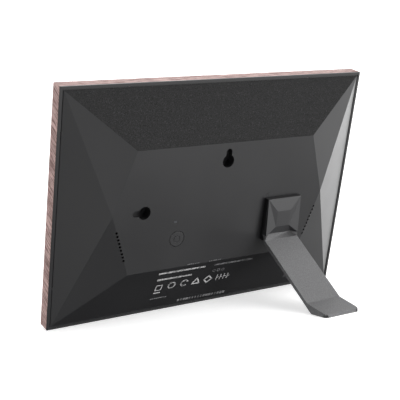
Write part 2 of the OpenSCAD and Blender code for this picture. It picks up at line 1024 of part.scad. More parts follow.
// The gem-cut cap: a small flat, a shallow upper facet, two side facets that rise towards the
// leg, and a steep lower facet that ends in the valley
module swivel_cap() {
    half = stand_w / 2;
    top_z = swivel_z + swivel_len / 2;
    flat_w = cap_flat_w / 2;
    flat_top = swivel_z + cap_flat_h / 2;
    flat_low = swivel_z - cap_flat_h / 2;
    points = [
        for (side = [-1, 1]) each [
            [side * half, cap_y, top_z],
            [side * half, cap_y, cap_drop_z],
            [side * half, cap_end[0], cap_end[1]],
            [side * (half - cap_inset), cap_shoulder_y, cap_end[1]],
            [side * (half - cap_inset), cap_edge_y, top_z],
            [side * valley_w / 2, valley[0], valley[1]],
            [side * flat_w, cap_flat_y, flat_low],
            [side * flat_w, cap_flat_y, flat_top]
        ]
    ];
    faces = [
        [8, 9, 1, 0], [9, 10, 2, 1], [4, 12, 8, 0], [7, 15, 12, 4], [6, 14, 15, 7],
        [5, 13, 14, 6], [10, 13, 5, 2], [5, 3, 2], [11, 13, 10], [5, 6, 3], [6, 4, 3], [6, 7, 4],
        [14, 13, 11], [12, 14, 11], [15, 14, 12], [1, 4, 0], [3, 4, 1], [2, 3, 1], [12, 9, 8],
        [12, 11, 9], [11, 10, 9]
    ];
    color([0.2, 0.2, 0.21])
        stood() {
            translate([swivel_x, 0, 0])
                polyhedron(points, faces, convexity = 4);
            for (at = peg_places)
                post(swivel_x + at[0], swivel_z + at[1], peg_r, cap_y - 2, cap_y + nudge);
        }
}

module swivel_retainer() {
    color("silver")
        stood()
            difference() {
                union() {
                    post(
                        swivel_x, swivel_z, retainer_r, retainer_y, retainer_y + retainer_t
                    );
                    translate([swivel_x - stop_tab_w / 2, retainer_y, swivel_z])
                        cube([stop_tab_w, retainer_t, stop_tab_r]);
                }
                for (turn = [30, 150, 270])
                    post(
                        swivel_x + swivel_screw_r * cos(turn),
                        swivel_z + swivel_screw_r * sin(turn),
                        screw_r + 0.2, retainer_y - 1, retainer_y + 3
                    );
            }
}

// A split spring ring that takes up the swivel's end play
module swivel_washer() {
    washer_y = retainer_y + retainer_t + 0.1;
    color("silver")
        stood()
            difference() {
                post(swivel_x, swivel_z, spindle_r + 2.6, washer_y, washer_y + washer_t);
                post(swivel_x, swivel_z, spindle_r + 0.5, washer_y - 1, washer_y + 1);
                translate([swivel_x, washer_y - 1, swivel_z - 1])
                    cube([20, 3, 2]);
            }
}

module swivel_screws() {
    color("silver")
        stood()
            for (turn = [30, 150, 270])
                cap_screw(
                    swivel_x + swivel_screw_r * cos(turn),
                    swivel_z + swivel_screw_r * sin(turn),
                    retainer_y, 5, 1
                );
}

module hinge_pin() {
    color("silver")
        stood()
            translate([swivel_x - stand_w / 2 + 0.3, hinge_y, hinge_z])
                rotate([0, 90, 0])
                    cylinder(r = pin_r, h = stand_w - pin_inset - 0.5);
}

module hinge_washers() {
    washer_w = 0.4;
    color("silver")
        stood()
            for (side = [-1, 1])
                translate([
                    swivel_x + side * (knuckle_w / 2 + knuckle_side / 2) - washer_w / 2,
                    hinge_y, hinge_z
                ])
                    rotate([0, 90, 0])
                        difference() {
                            cylinder(r = ear_r - 0.1, h = washer_w);
                            translate([0, 0, -1])
                                cylinder(r = pin_r + 0.05, h = 3);
                        }
}

// Side view of the leg: the lip over the ears, the long plate and the wedge of the foot
module leg_profile() {
    polygon([
        lip_tip, root, bend, toe_top, toe, heel,
        hinge + 2.8 * along - leg_under * square_to,
        hinge + [root_y, root_z],
        lip_under + 0.6 * lip_dir,
        lip_heel
    ]);
}

// The side facet that carries the cap's own on to the leg's root, sunk into the lip
module lip_wing(side) {
    start_z = lip_tip[1] - lip_gap;
    edge = side * (stand_w / 2 - cap_inset);
    low = root - wing_sink * (3 * lip_dir + lip_out);
    points = [
        [side * (valley_w / 2 - wing_sink), valley[0] - wing_sink, start_z],
        [edge, lip_heel[0] + 5 * wing_sink, start_z],
        [edge, low[0], low[1]],
        [edge, cap_shoulder_y, start_z]
    ];
    translate([swivel_x, 0, 0])
        polyhedron(
            points,
            side > 0 ? [[0, 1, 2], [0, 3, 1], [0, 2, 3], [1, 3, 2]]
            : [[0, 2, 1], [0, 1, 3], [0, 3, 2], [1, 2, 3]]
        );
}

// The knuckle and the web that joins it to the plate
module knuckle_profile() {
    translate(hinge)
        circle(r = knuckle_r);
    polygon([
        hinge + 1.4 * square_to, hinge + 4 * along + 0.4 * square_to,
        hinge + 4 * along - leg_under * square_to,
        hinge - leg_under * square_to
    ]);
}

// Outline of the leg seen square to the ground, with round toe corners
module leg_outline() {
    far = norm(toe - hinge) + 40;
    translate([swivel_x - stand_w / 2, 0]) {
        square([stand_w, far - toe_r]);
        translate([toe_r, 0])
            square([stand_w - 2 * toe_r, far]);
        for (side = [toe_r, stand_w - toe_r])
            translate([side, far - toe_r])
                circle(r = toe_r);
    }
}

// Stands an outline up from the ground, with its far end on the toe
module toe_trim() {
    far = norm(toe - hinge) + 40;
    origin = toe - far * ground - 20 * up;
    translate([0, origin[0], origin[1]])
        rotate([lean, 0, 0])
            linear_extrude(140)
                leg_outline();
}

module pad_block(grow) {
    start = heel + (pad_start - grow) * ground;
    translate([swivel_x - pad_w / 2 - grow, start[0], start[1]])
        rotate([lean, 0, 0])
            translate([0, 0, -grow])
                cube([pad_w + 2 * grow, pad_len + 2 * grow, pad_t + grow]);
}

module stand_leg() {
    color([0.28, 0.28, 0.3])
        stood()
            difference() {
                union() {
                    intersection() {
                        along_x(swivel_x - stand_w / 2, swivel_x + stand_w / 2)
                            leg_profile();
                        toe_trim();
                    }
                    along_x(swivel_x - knuckle_w / 2, swivel_x + knuckle_w / 2)
                        knuckle_profile();
                    for (side = [-1, 1])
                        lip_wing(side);
                }
                hinge_bore(pin_r + pin_fit);
                pad_block(0.1);
            }
}

module foot_pad() {
    color([0.1, 0.1, 0.1])
        stood()
            pad_block(0);
}

surround();
cover_glass();
mat_board();
lcd_panel();
backlight_unit();
chassis_plate();
chassis_screws();
rear_housing();
main_board();
board_screws();
processor_shield();
memory_chip();
wireless_module();
antenna();
antenna_lead();
display_connector();
display_ribbon();
touch_connector();
touch_ribbon();
inlet_shell();
inlet_tongue();
power_button();
tact_switch();
switch_plunger();
switch_dome();
indicator_led();
light_pipe();
speaker_left();
speaker_right();
speaker_gasket_left();
speaker_gasket_right();
speaker_socket_left();
speaker_socket_right();
speaker_lead_left();
speaker_lead_right();
swivel_base();
swivel_cap();
swivel_retainer();
swivel_washer();
swivel_screws();
hinge_pin();
hinge_washers();
stand_leg();
foot_pad();
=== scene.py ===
"""Finishes and stage of a digital photo frame: a Blender add-on that is run as a script."""

import json
import math

import bmesh
import bpy
from mathutils import Matrix, Vector
from mathutils.bvhtree import BVHTree


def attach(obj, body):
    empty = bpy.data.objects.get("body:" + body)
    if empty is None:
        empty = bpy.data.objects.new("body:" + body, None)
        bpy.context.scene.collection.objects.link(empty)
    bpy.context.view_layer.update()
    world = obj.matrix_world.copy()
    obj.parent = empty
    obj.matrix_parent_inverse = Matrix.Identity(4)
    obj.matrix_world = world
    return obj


bl_info = {
    "name": "Digital photo frame finishes",
    "version": (1, 0, 0),
    "blender": (4, 5, 0),
    "location": "3D View > Sidebar > Photo frame",
    "description": "Finishes, printed label and stage of a digital photo frame",
    "category": "Object",
}

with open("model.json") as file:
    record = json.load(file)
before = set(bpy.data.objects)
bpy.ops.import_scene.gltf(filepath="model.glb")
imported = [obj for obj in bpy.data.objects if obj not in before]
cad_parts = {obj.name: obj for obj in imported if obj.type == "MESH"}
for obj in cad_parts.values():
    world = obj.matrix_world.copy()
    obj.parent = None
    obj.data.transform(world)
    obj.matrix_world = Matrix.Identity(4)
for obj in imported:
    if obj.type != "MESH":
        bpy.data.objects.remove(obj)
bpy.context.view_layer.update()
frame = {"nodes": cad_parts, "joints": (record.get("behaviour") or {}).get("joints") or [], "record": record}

MM = 0.001

NODES = frame["nodes"]
JOINTS = {joint["name"]: joint for joint in frame["joints"]}
MOUNTS = {mount["name"]: mount for mount in frame["record"]["mounts"]}
SLOT_OF = {part["node"]: part["material_slot"] for part in frame["record"]["subparts"]}

# The panel's own directions: across, out of the back, and up the back
ACROSS = Vector((1, 0, 0))
OUT = Vector(JOINTS["stand_swivel"]["axis"]).normalized()
UP = ACROSS.cross(OUT)
LEAN = math.asin(-OUT.z)

# Middle of the plateau's face, in line with the side keyhole
SIDE_KEYHOLE = MOUNTS["keyhole_side"]
PLATEAU = Vector(SIDE_KEYHOLE["pos_m"]) + OUT * SIDE_KEYHOLE["dims"]["length_mm"] / 2 * MM
PLATEAU.x = 0


def on_panel(across, up, out=0.0):
    """The point in the row frame that lies at these distances from the plateau's middle."""
    return PLATEAU + ACROSS * across + UP * up + OUT * out


# ---- Sizes and colours that a user would change ----


def length(name, default, description):
    """A length property in metres."""
    return bpy.props.FloatProperty(
        name=name,
        default=default,
        description=description,
        min=0.0,
        subtype="DISTANCE",
        unit="LENGTH",
    )


def colour(name, default, description):
    """A colour property."""
    return bpy.props.FloatVectorProperty(
        name=name,
        default=default,
        description=description,
        size=3,
        min=0.0,
        max=1.0,
        subtype="COLOR",
    )


def angle(name, degrees, description):
    """An angle property, given in degrees."""
    return bpy.props.FloatProperty(
        name=name, default=math.radians(degrees), description=description, subtype="ANGLE"
    )


class FrameFinishes(bpy.types.PropertyGroup):
    """Colours and grain of the frame's visible parts."""

    foil_light: colour("Foil, light grain", (0.78, 0.555, 0.52), "Light streaks of the foil")
    foil_dark: colour("Foil, dark grain", (0.20, 0.115, 0.105), "Dark pores of the foil")
    grain_slant: angle("Grain slant", 23, "Of the short sides' grain, off the frame's depth")
    housing_black: colour("Housing", (0.020, 0.020, 0.0212), "Moulded black of the rear housing")
    swivel_black: colour("Swivel base", (0.006, 0.006, 0.007), "Smooth black of the swivel base")
    stand_grey: colour("Leg", (0.128, 0.128, 0.131), "Spark-eroded grey of the leg")
    cap_grey: colour("Cap", (0.034, 0.034, 0.036), "Smooth dark grey of the gem-cut cap")
    mat_white: colour("Mat", (0.83, 0.81, 0.77), "Card of the mat board")
    edge_round: length("Edge rounding", 0.00022, "Radius of the moulded parts' outer edges")


class LabelSizes(bpy.types.PropertyGroup):
    """Sizes of the printed bars and signs on the lower facet."""

    ink: colour("Ink", (0.66, 0.66, 0.66), "White of the signs and the main lines")
    faint_ink: colour("Faint ink", (0.22, 0.22, 0.225), "Grey of the smaller lines")
    ink_height: length("Ink height", 0.00003, "How far the print stands proud of the housing")
    stroke: length("Stroke", 0.00045, "Line width of the signs")
    sign: length("Sign", 0.0052, "Height of a sign")


class StageSettings(bpy.types.PropertyGroup):
    """Floor and camera."""

    floor_size: length("Floor", 24.0, "Side of the square floor")
    camera_distance: length("Camera distance", 0.5852, "From the camera to its aim")
    camera_azimuth: angle("Camera azimuth", 147.9536, "Round the frame, from the screen's side")
    camera_elevation: angle("Camera elevation", 7.0298, "Above the horizon")
    camera_roll: angle("Camera roll", 2.785, "Turn about the line of sight")
    lens: bpy.props.FloatProperty(
        name="Lens", default=87.05, description="Focal length in millimetres"
    )


# ---- Materials ----


class Recipe:
    """A material's node tree under construction."""

    def __init__(self, name):
        self.material = bpy.data.materials.new(name)
        self.material.use_nodes = True
        self.tree = self.material.node_tree
        self.shader = self.tree.nodes["Principled BSDF"]
        self.coords = self.add("ShaderNodeTexCoord")

    def add(self, kind, inputs=None, **settings):
        """A new node, with its settings and its inputs' values or links."""
        node = self.tree.nodes.new(kind)
        for key, value in settings.items():
            setattr(node, key, value)
        for key, value in (inputs or {}).items():
            self.feed(node.inputs[key], value)
        return node

    def feed(self, socket, value):
        """Links an output to the socket, or sets its value."""
        if isinstance(value, bpy.types.NodeSocket):
            self.tree.links.new(value, socket)
        else:
            socket.default_value = value

    def maths(self, operation, first, second=0.0, third=0.0):
        """The result of a sum on one to three values."""
        node = self.add("ShaderNodeMath", operation=operation)
        for socket, value in zip(node.inputs, (first, second, third)):
            self.feed(socket, value)
        return node.outputs[0]

    def split(self, vector):
        """The three parts of a vector."""
        return self.add("ShaderNodeSeparateXYZ", {"Vector": vector}).outputs

    def between(self, factor, first, second):
        """A value between first and second."""
        return self.add("ShaderNodeMix", {0: factor, 2: first, 3: second}).outputs[0]

    def shaded(self, tint, factor):
        """A colour multiplied by a value."""
        return self.add(
            "ShaderNodeVectorMath", {0: tint, "Scale": factor}, operation="SCALE"
        ).outputs[0]

    def panel_space(self, source, kind="POINT"):
        """Object coordinates turned so that Z runs up the leaning panel and Y out of its back."""
        turn = self.add(
            "ShaderNodeMapping", {"Vector": source, "Rotation": (LEAN, 0, 0)}, vector_type=kind
        )
        return turn.outputs[0]

    def point(self):
        """The place on the piece, in panel space."""
        return self.panel_space(self.coords.outputs["Object"])

    def normal(self):
        """The surface's direction, in panel space."""
        return self.panel_space(self.coords.outputs["Normal"], "VECTOR")

    def noise(self, scale, vector=None, detail=2.0, rough=0.5, distortion=0.0):
        """A noise texture's height, at so many cells a metre."""
        node = self.add(
            "ShaderNodeTexNoise",
            {
                "Vector": vector or self.coords.outputs["Object"],
                "Scale": scale,
                "Detail": detail,
                "Roughness": rough,
                "Distortion": distortion,
            },
        )
        return node.outputs["Fac"]

    def stepped(self, value, low, high, bottom=0.0, top=1.0):
        """value remapped from low..high to bottom..top, smoothly and clamped."""
        node = self.add(
            "ShaderNodeMapRange",
            {"Value": value, "From Min": low, "From Max": high, "To Min": bottom, "To Max": top},
            interpolation_type="SMOOTHSTEP",
        )
        return node.outputs["Result"]

    def blend(self, factor, dark, light):
        """A colour between dark and light."""
        node = self.add("ShaderNodeMix", data_type="RGBA")
        self.feed(node.inputs[0], factor)
        for socket, value in ((node.inputs[6], dark), (node.inputs[7], light)):
            self.feed(socket, value if isinstance(value, bpy.types.NodeSocket) else (*value, 1.0))
        return node.outputs[2]

    def bump(self, height, depth, strength=1.0, under=None):
        """A bump of the given depth in metres over another one."""
        inputs = {"Height": height, "Distance": depth, "Strength": strength}
        if under is not None:
            inputs["Normal"] = under
        return self.add("ShaderNodeBump", inputs).outputs[0]

    def finish(self, base, roughness, normal=None, **fixed):
        """Sets the shader's colour, roughness, normal and its uniform values."""
        self.feed(self.shader.inputs["Base Color"], base)
        self.feed(self.shader.inputs["Roughness"], roughness)
        if normal is not None:
            self.feed(self.shader.inputs["Normal"], normal)
        for key, value in fixed.items():
            self.shader.inputs[key.replace("_", " ")].default_value = value
        return self.material


def scaled(tint, factor):
    """A colour made lighter or darker."""
    return tuple(min(1.0, part * factor) for part in tint)


def wood_foil(name, light, dark, slant):
    """Wood-look foil: fine pores that follow the long sides and slant over the short ones."""
    mix = Recipe(name)
    across, out, up = mix.split(mix.point())
    sideways = mix.split(mix.normal())[0]
    short_side = mix.maths("GREATER_THAN", mix.maths("ABSOLUTE", sideways), 0.7)

    def turned(first, second, swap):
        """first and second turned by the slant; swap gives the turn's sense."""
        along = mix.maths("MULTIPLY", first, math.cos(slant))
        return mix.maths("ADD", along, mix.maths("MULTIPLY", second, swap * math.sin(slant)))

    side_slow, side_fast = turned(out, up, -1), turned(up, out, 1)
    long_fast = mix.maths("ADD", out, up)
    slow = mix.between(short_side, across, side_slow)
    fast = mix.between(short_side, long_fast, side_fast)

    side_shift = 7.3  # Keeps the short sides' pattern apart from the long sides'

    def streaks(slow_scale, fast_scale, detail, distortion=0.0):
        """Noise with so many cells a metre along the grain and across it."""
        vector = mix.add(
            "ShaderNodeCombineXYZ",
            {
                0: mix.maths("MULTIPLY", slow, slow_scale),
                1: mix.maths("MULTIPLY", fast, fast_scale),
                2: mix.maths("MULTIPLY", short_side, side_shift),
            },
        )
        return mix.noise(1.0, vector.outputs[0], detail, 0.6, distortion)

    pores = mix.stepped(streaks(110, 1350, 3.0, 0.2), 0.37, 0.58)
    bands = mix.stepped(streaks(25, 230, 2.0, 0.6), 0.3, 0.7, 0.55, 1.0)
    fibres = mix.stepped(streaks(300, 2600, 2.0), 0.3, 0.7, 0.6, 1.0)
    tone = mix.maths("MULTIPLY", mix.maths("MULTIPLY", pores, bands), fibres)
    base = mix.blend(tone, dark, light)
    height = mix.maths("MULTIPLY_ADD", pores, 0.7, mix.maths("MULTIPLY", fibres, 0.3))
    roughness = mix.stepped(tone, 0.0, 1.0, 0.78, 0.62)
    return mix.finish(base, roughness, mix.bump(height, 0.00006, 0.55))


def moulded_black(name, tint):
    """Rear housing: satin plastic, with a coarse sparkling grain on the upper facet only; that facet's base
    colour is also darkened, as painted shade.
    """
    mix = Recipe(name)
    _, outward, upward = mix.split(mix.normal())
    # Upward-facing facets get the real coarse grain, and the same mask darkens their base colour as painted
    # shade
    upper_grain_and_painted_shade = mix.maths(
        "MULTIPLY", mix.stepped(upward, 0.22, 0.30), mix.stepped(outward, 0.80, 0.86)
    )
    grain = mix.noise(2300, None, 2.0, 0.6)
    sparkle = mix.stepped(mix.noise(1500, None, 1.0), 0.60, 0.74)
    fine = mix.noise(5200, None, 1.0)
    cloud = mix.noise(26, None, 3.0)
    # The upper facet's base colour drops to between 0.15 and 0.5 of the housing's black, with lighter grain
    # specks: painted shade over the real grain
    grain_tone_with_painted_shade = mix.maths("ADD", sparkle, mix.stepped(grain, 0.35, 0.7, 0.15, 0.5))
    smooth_tone = mix.stepped(cloud, 0.3, 0.7, 0.94, 1.06)
    base = mix.shaded(tint, mix.between(upper_grain_and_painted_shade, smooth_tone, grain_tone_with_painted_shade))
    rough_gloss = mix.stepped(grain, 0.3, 0.7, 0.95, 0.74)
    smooth_gloss = mix.stepped(cloud, 0.3, 0.7, 0.31, 0.36)
    gloss = mix.between(upper_grain_and_painted_shade, smooth_gloss, rough_gloss)
    low = mix.bump(fine, 0.000012, 0.35)
    depth = mix.maths("MULTIPLY", upper_grain_and_painted_shade, 0.85)
    return mix.finish(base, gloss, mix.bump(grain, 0.00012, depth, low))


def smooth_plastic(name, tint, low=0.28, high=0.36, scale=900, depth=0.00001):
    """Moulded plastic with a faint orange peel and slightly uneven gloss."""
    mix = Recipe(name)
    cloud = mix.noise(40, None, 3.0)
    peel = mix.noise(scale, None, 2.0)
    base = mix.blend(cloud, scaled(tint, 0.9), scaled(tint, 1.1))
    return mix.finish(base, mix.stepped(cloud, 0.3, 0.7, low, high), mix.bump(peel, depth, 0.5))


def eroded_plastic(name, tint):
    """Spark-eroded plastic: a fine, even grain with small light and dark specks."""
    mix = Recipe(name)
    grain = mix.noise(2600, None, 3.0, 0.65)
    speck = mix.noise(1400, None, 1.0)
    cloud = mix.noise(35, None, 2.0)
    grain_tone = mix.stepped(grain, 0.3, 0.7, 0.82, 1.26)
    speck_tone = mix.stepped(speck, 0.3, 0.72, 0.92, 1.18)
    base = mix.shaded(tint, mix.maths("MULTIPLY", grain_tone, speck_tone))
    gloss = mix.stepped(cloud, 0.3, 0.7, 0.50, 0.58)
    return mix.finish(base, gloss, mix.bump(grain, 0.00009, 0.6))


def rubbery(name, tint):
    """Matt rubber with a dusty, slightly uneven surface."""
    mix = Recipe(name)
    dust = mix.noise(700, None, 4.0)
    base = mix.blend(dust, scaled(tint, 0.8), scaled(tint, 1.5))
    return mix.finish(base, mix.stepped(dust, 0.3, 0.7, 0.72, 0.88), mix.bump(dust, 0.00004, 0.4))


def rolled_metal(name, tint, across=60.0, along=2600.0):
    """Plated or rolled metal with a fine directional brushing."""
    mix = Recipe(name)
    stretch = mix.add(
        "ShaderNodeMapping", {"Vector": mix.point(), "Scale": (across, along, along)}
    ).outputs[0]
    lines = mix.noise(1.0, stretch, 3.0, 0.6)
    base = mix.blend(lines, scaled(tint, 0.8), scaled(tint, 1.12))
    gloss = mix.stepped(lines, 0.3, 0.7, 0.24, 0.42)
    return mix.finish(base, gloss, mix.bump(lines, 0.000008, 0.5), Metallic=1.0)


def mat_card(name, tint):
    """Uncoated card with a soft fibrous tooth."""
    mix = Recipe(name)
    tooth = mix.noise(1900, None, 4.0, 0.7)
    cloud = mix.noise(60, None, 2.0)
    tone = mix.maths("MULTIPLY_ADD", cloud, 0.4, mix.maths("MULTIPLY", tooth, 0.6))
    base = mix.blend(tone, scaled(tint, 0.93), scaled(tint, 1.05))
    return mix.finish(base, mix.stepped(tooth, 0.3, 0.7, 0.8, 0.92), mix.bump(tooth, 0.00004, 0.5))


def clear_glass(name):
    """Polished cover glass with a barely uneven surface."""
    mix = Recipe(name)
    wave = mix.noise(9, None, 2.0)
    return mix.finish(
        (0.97, 0.985, 0.98, 1.0),
        mix.stepped(wave, 0.3, 0.7, 0.008, 0.02),
        mix.bump(wave, 0.00002, 0.15),
        Transmission_Weight=1.0,
        IOR=1.5,
    )


def dark_display(name):
    """Switched-off display: near-black film over fine rows of cells."""
    mix = Recipe(name)
    rows = mix.add(
        "ShaderNodeTexWave",
        {"Vector": mix.point(), "Scale": 1900, "Distortion": 0.0},
        wave_type="BANDS",
        bands_direction="X",
    ).outputs["Fac"]
    cloud = mix.noise(14, None, 2.0)
    tone = mix.maths("MULTIPLY_ADD", rows, 0.25, mix.maths("MULTIPLY", cloud, 0.75))
    base = mix.blend(tone, (0.006, 0.006, 0.009), (0.016, 0.017, 0.022))
    return mix.finish(base, mix.stepped(cloud, 0.3, 0.7, 0.16, 0.22))


def circuit_board(name):
    """Green solder mask over a faint pattern of copper tracks."""
    mix = Recipe(name)
    tracks = mix.add(
        "ShaderNodeTexBrick",
        {"Vector": mix.point(), "Scale": 260, "Mortar Size": 0.05, "Color1": (0, 0, 0, 1)},
    ).outputs["Fac"]
    cloud = mix.noise(300, None, 3.0)
    green = mix.blend(cloud, (0.010, 0.075, 0.035), (0.018, 0.12, 0.055))
    base = mix.blend(mix.maths("MULTIPLY", tracks, 0.5), green, (0.05, 0.22, 0.10))
    gloss = mix.stepped(cloud, 0.3, 0.7, 0.28, 0.4)
    return mix.finish(base, gloss, mix.bump(tracks, 0.00002, 0.5))


def printed_ink(name, tint):
    """Pad-printed ink, thin in places so that the grain shows."""
    mix = Recipe(name)
    wear = mix.stepped(mix.noise(1700, None, 3.0, 0.7), 0.25, 0.55, 0.7, 1.0)
    return mix.finish(mix.shaded(tint, wear), mix.stepped(wear, 0.4, 1.0, 0.7, 0.5))


def give(material, *names):
    """Puts the material on CAD nodes, in place of what they came with."""
    for name in names:
        slots = NODES[name].data.materials
        slots.clear()
        slots.append(material)


def soften(name, radius, least_turn=40):
    """Rounds a CAD node's outer edges with modifiers, which leave its mesh as it is.

    Edges that turn by less than least_turn degrees stay sharp.
    """
    part = NODES[name]
    weld = part.modifiers.new("Weld", "WELD")
    weld.merge_threshold = 0.000002
    bevel = part.modifiers.new("Edge rounding", "BEVEL")
    bevel.width = radius
    bevel.segments = 2
    bevel.limit_method = "ANGLE"
    bevel.angle_limit = math.radians(least_turn)
    bevel.harden_normals = True
    bevel.use_clamp_overlap = True


# ---- Operators: one for each piece or group, and one for the stage ----


class PieceOperator:
    """What the piece operators share."""

    bl_options = {"REGISTER", "UNDO"}

    def execute(self, context):
        self.make(context.scene)
        return {"FINISHED"}


class SurroundFinish(PieceOperator, bpy.types.Operator):
    """Wraps the surround in wood-look foil."""

    bl_idname = "photoframe.surround"
    bl_label = "Surround"

    def make(self, scene):
        looks = scene.frame_finishes
        foil = wood_foil("wood foil", looks.foil_light, looks.foil_dark, looks.grain_slant)
        give(foil, "surround")
        soften("surround", looks.edge_round * 1.5)


class ScreenFinish(PieceOperator, bpy.types.Operator):
    """Finishes the cover glass, the mat, the display and its backlight."""

    bl_idname = "photoframe.screen"
    bl_label = "Screen stack"

    def make(self, scene):
        give(clear_glass("cover glass"), "cover_glass")
        give(mat_card("mat card", scene.frame_finishes.mat_white), "mat_board")
        give(dark_display("display film"), "lcd_panel")
        sheet = rolled_metal("galvanised sheet", (0.52, 0.53, 0.54))
        give(sheet, "backlight_unit", "chassis_plate", "processor_shield", "wireless_module")


class HousingFinish(PieceOperator, bpy.types.Operator):
    """Finishes the rear housing, its button and its indicator."""

    bl_idname = "photoframe.housing"
    bl_label = "Rear housing"

    def make(self, scene):
        looks = scene.frame_finishes
        give(moulded_black("housing plastic", looks.housing_black), "rear_housing")
        button_black = scaled(looks.housing_black, 1.1)
        give(smooth_plastic("button plastic", button_black, 0.36, 0.42, 2200), "power_button")
        soften("power_button", looks.edge_round * 0.6)
        smoked = (0.075, 0.078, 0.085)
        give(smooth_plastic("light pipe acrylic", smoked, 0.14, 0.2), "light_pipe")


class StandFinish(PieceOperator, bpy.types.Operator):
    """Finishes the swivel base, its cap, the leg and its foot pad."""

    bl_idname = "photoframe.stand"
    bl_label = "Stand"

    def make(self, scene):
        looks = scene.frame_finishes
        give(smooth_plastic("swivel plastic", looks.swivel_black, 0.4, 0.5), "swivel_base")
        give(eroded_plastic("leg plastic", looks.stand_grey), "stand_leg")
        cap = smooth_plastic("cap plastic", looks.cap_grey, 0.34, 0.42, 2400, 0.00002)
        give(cap, "swivel_cap")
        give(rubbery("foot rubber", (0.02, 0.02, 0.02)), "foot_pad")
        soften("stand_leg", looks.edge_round * 1.2, 30)
        soften("swivel_base", looks.edge_round)


class InsidesFinish(PieceOperator, bpy.types.Operator):
    """Finishes the fasteners and the electronics."""

    bl_idname = "photoframe.insides"
    bl_label = "Insides"

    def make(self, scene):
        plated = rolled_metal("plated steel", (0.60, 0.60, 0.62), 900, 900)
        made = {
            "steel": plated,
            "circuit_board": circuit_board("solder mask"),
            "chip": smooth_plastic("chip moulding", (0.02, 0.02, 0.021), 0.4, 0.5, 3000),
            "connector": smooth_plastic("connector moulding", (0.78, 0.74, 0.62), 0.4, 0.5),
            "ribbon": smooth_plastic("amber film", (0.70, 0.33, 0.06), 0.2, 0.3, 500),
            "contact": rolled_metal("gold plate", (0.85, 0.62, 0.28), 500, 500),
            "rubber": rubbery("gasket rubber", (0.02, 0.02, 0.02)),
            "speaker": smooth_plastic("speaker moulding", (0.03, 0.03, 0.032), 0.45, 0.55),
            "wire": smooth_plastic("wire insulation", (0.30, 0.02, 0.02), 0.4, 0.5),
        }
        for node, slot in SLOT_OF.items():
            if slot in made and node != "foot_pad":
                give(made[slot], node)
        pale_film = smooth_plastic("pale film", scene.frame_finishes.mat_white, 0.5, 0.6, 500)
        give(pale_film, "touch_ribbon")


# ---- Printed label ----


MOST_FILL = 0.95  # The longest dash, as a share of the pitch


def dash_tree():
    """Geometry Nodes: a row of flat dashes of uneven length, like a line of print."""
    tree = bpy.data.node_groups.new("dash row", "GeometryNodeTree")
    face = tree.interface
    face.new_socket("Geometry", in_out="OUTPUT", socket_type="NodeSocketGeometry")
    for name, kind in (
        ("Count", "NodeSocketInt"),
        ("Pitch", "NodeSocketFloat"),
        ("Height", "NodeSocketFloat"),
        ("Least fill", "NodeSocketFloat"),
        ("Depth", "NodeSocketFloat"),
        ("Seed", "NodeSocketInt"),
        ("Ink", "NodeSocketMaterial"),
    ):
        face.new_socket(name, in_out="INPUT", socket_type=kind)
    nodes, link = tree.nodes, tree.links.new
    given = nodes.new("NodeGroupInput").outputs
    line = nodes.new("GeometryNodeMeshLine")
    link(given["Count"], line.inputs["Count"])
    step = nodes.new("ShaderNodeCombineXYZ")
    link(given["Pitch"], step.inputs["X"])
    link(step.outputs[0], line.inputs["Offset"])
    fill = nodes.new("FunctionNodeRandomValue")
    link(given["Least fill"], fill.inputs[2])
    fill.inputs[3].default_value = MOST_FILL
    link(given["Seed"], fill.inputs["Seed"])
    width = nodes.new("ShaderNodeMath")
    width.operation = "MULTIPLY"
    link(fill.outputs[1], width.inputs[0])
    link(given["Pitch"], width.inputs[1])
    size = nodes.new("ShaderNodeCombineXYZ")
    link(width.outputs[0], size.inputs["X"])
    link(given["Height"], size.inputs["Y"])
    link(given["Depth"], size.inputs["Z"])
    block = nodes.new("GeometryNodeMeshCube")
    placed = nodes.new("GeometryNodeInstanceOnPoints")
    link(line.outputs["Mesh"], placed.inputs["Points"])
    link(block.outputs["Mesh"], placed.inputs["Instance"])
    link(size.outputs[0], placed.inputs["Scale"])
    real = nodes.new("GeometryNodeRealizeInstances")
    link(placed.outputs["Instances"], real.inputs["Geometry"])
    coat = nodes.new("GeometryNodeSetMaterial")
    link(real.outputs["Geometry"], coat.inputs["Geometry"])
    link(given["Ink"], coat.inputs["Material"])
    link(coat.outputs["Geometry"], nodes.new("NodeGroupOutput").inputs["Geometry"])
    return tree


def grown(tree, name, inputs):
    """The plain mesh that a Geometry Nodes tree makes with these named inputs."""
    carrier = bpy.data.objects.new(name + " source", bpy.data.meshes.new(name + " source"))
    bpy.context.scene.collection.objects.link(carrier)
    modifier = carrier.modifiers.new(name, "NODES")
    modifier.node_group = tree
    sockets = [item for item in tree.interface.items_tree if item.in_out == "INPUT"]
    identifiers = {socket.name: socket.identifier for socket in sockets}
    for key, value in inputs.items():
        modifier[identifiers[key]] = value
    bpy.context.view_layer.update()
    evaluated = carrier.evaluated_get(bpy.context.evaluated_depsgraph_get())
    mesh = bpy.data.meshes.new_from_object(evaluated)
    bpy.data.objects.remove(carrier)
    if mesh.materials[0] is None:
        mesh.materials.pop(index=0)
    return mesh


def housing_surface():
    """A search tree of the rear housing's faces."""
    shell = bmesh.new()
    shell.from_mesh(NODES["rear_housing"].data)
    found = BVHTree.FromBMesh(shell)
    shell.free()
    return found


REACH = 0.05  # Where the search for the housing starts, out from the plateau


def laid_on_housing(mesh, left, up, surface):
    """Moves a flat mesh's points from its own plane to the housing, along the panel's normal.

    The mesh's x runs to the viewer's right, y up and z out. left and up place its origin.
    """
    for vertex in mesh.vertices:
        x, y, rise = vertex.co
        start = on_panel(-(left + x), up + y, REACH)
        spot = surface.ray_cast(start, -OUT)
        if spot[0] is None:
            raise RuntimeError("the print runs off the housing")
        vertex.co = spot[0] + spot[1] * rise
    mesh.update()


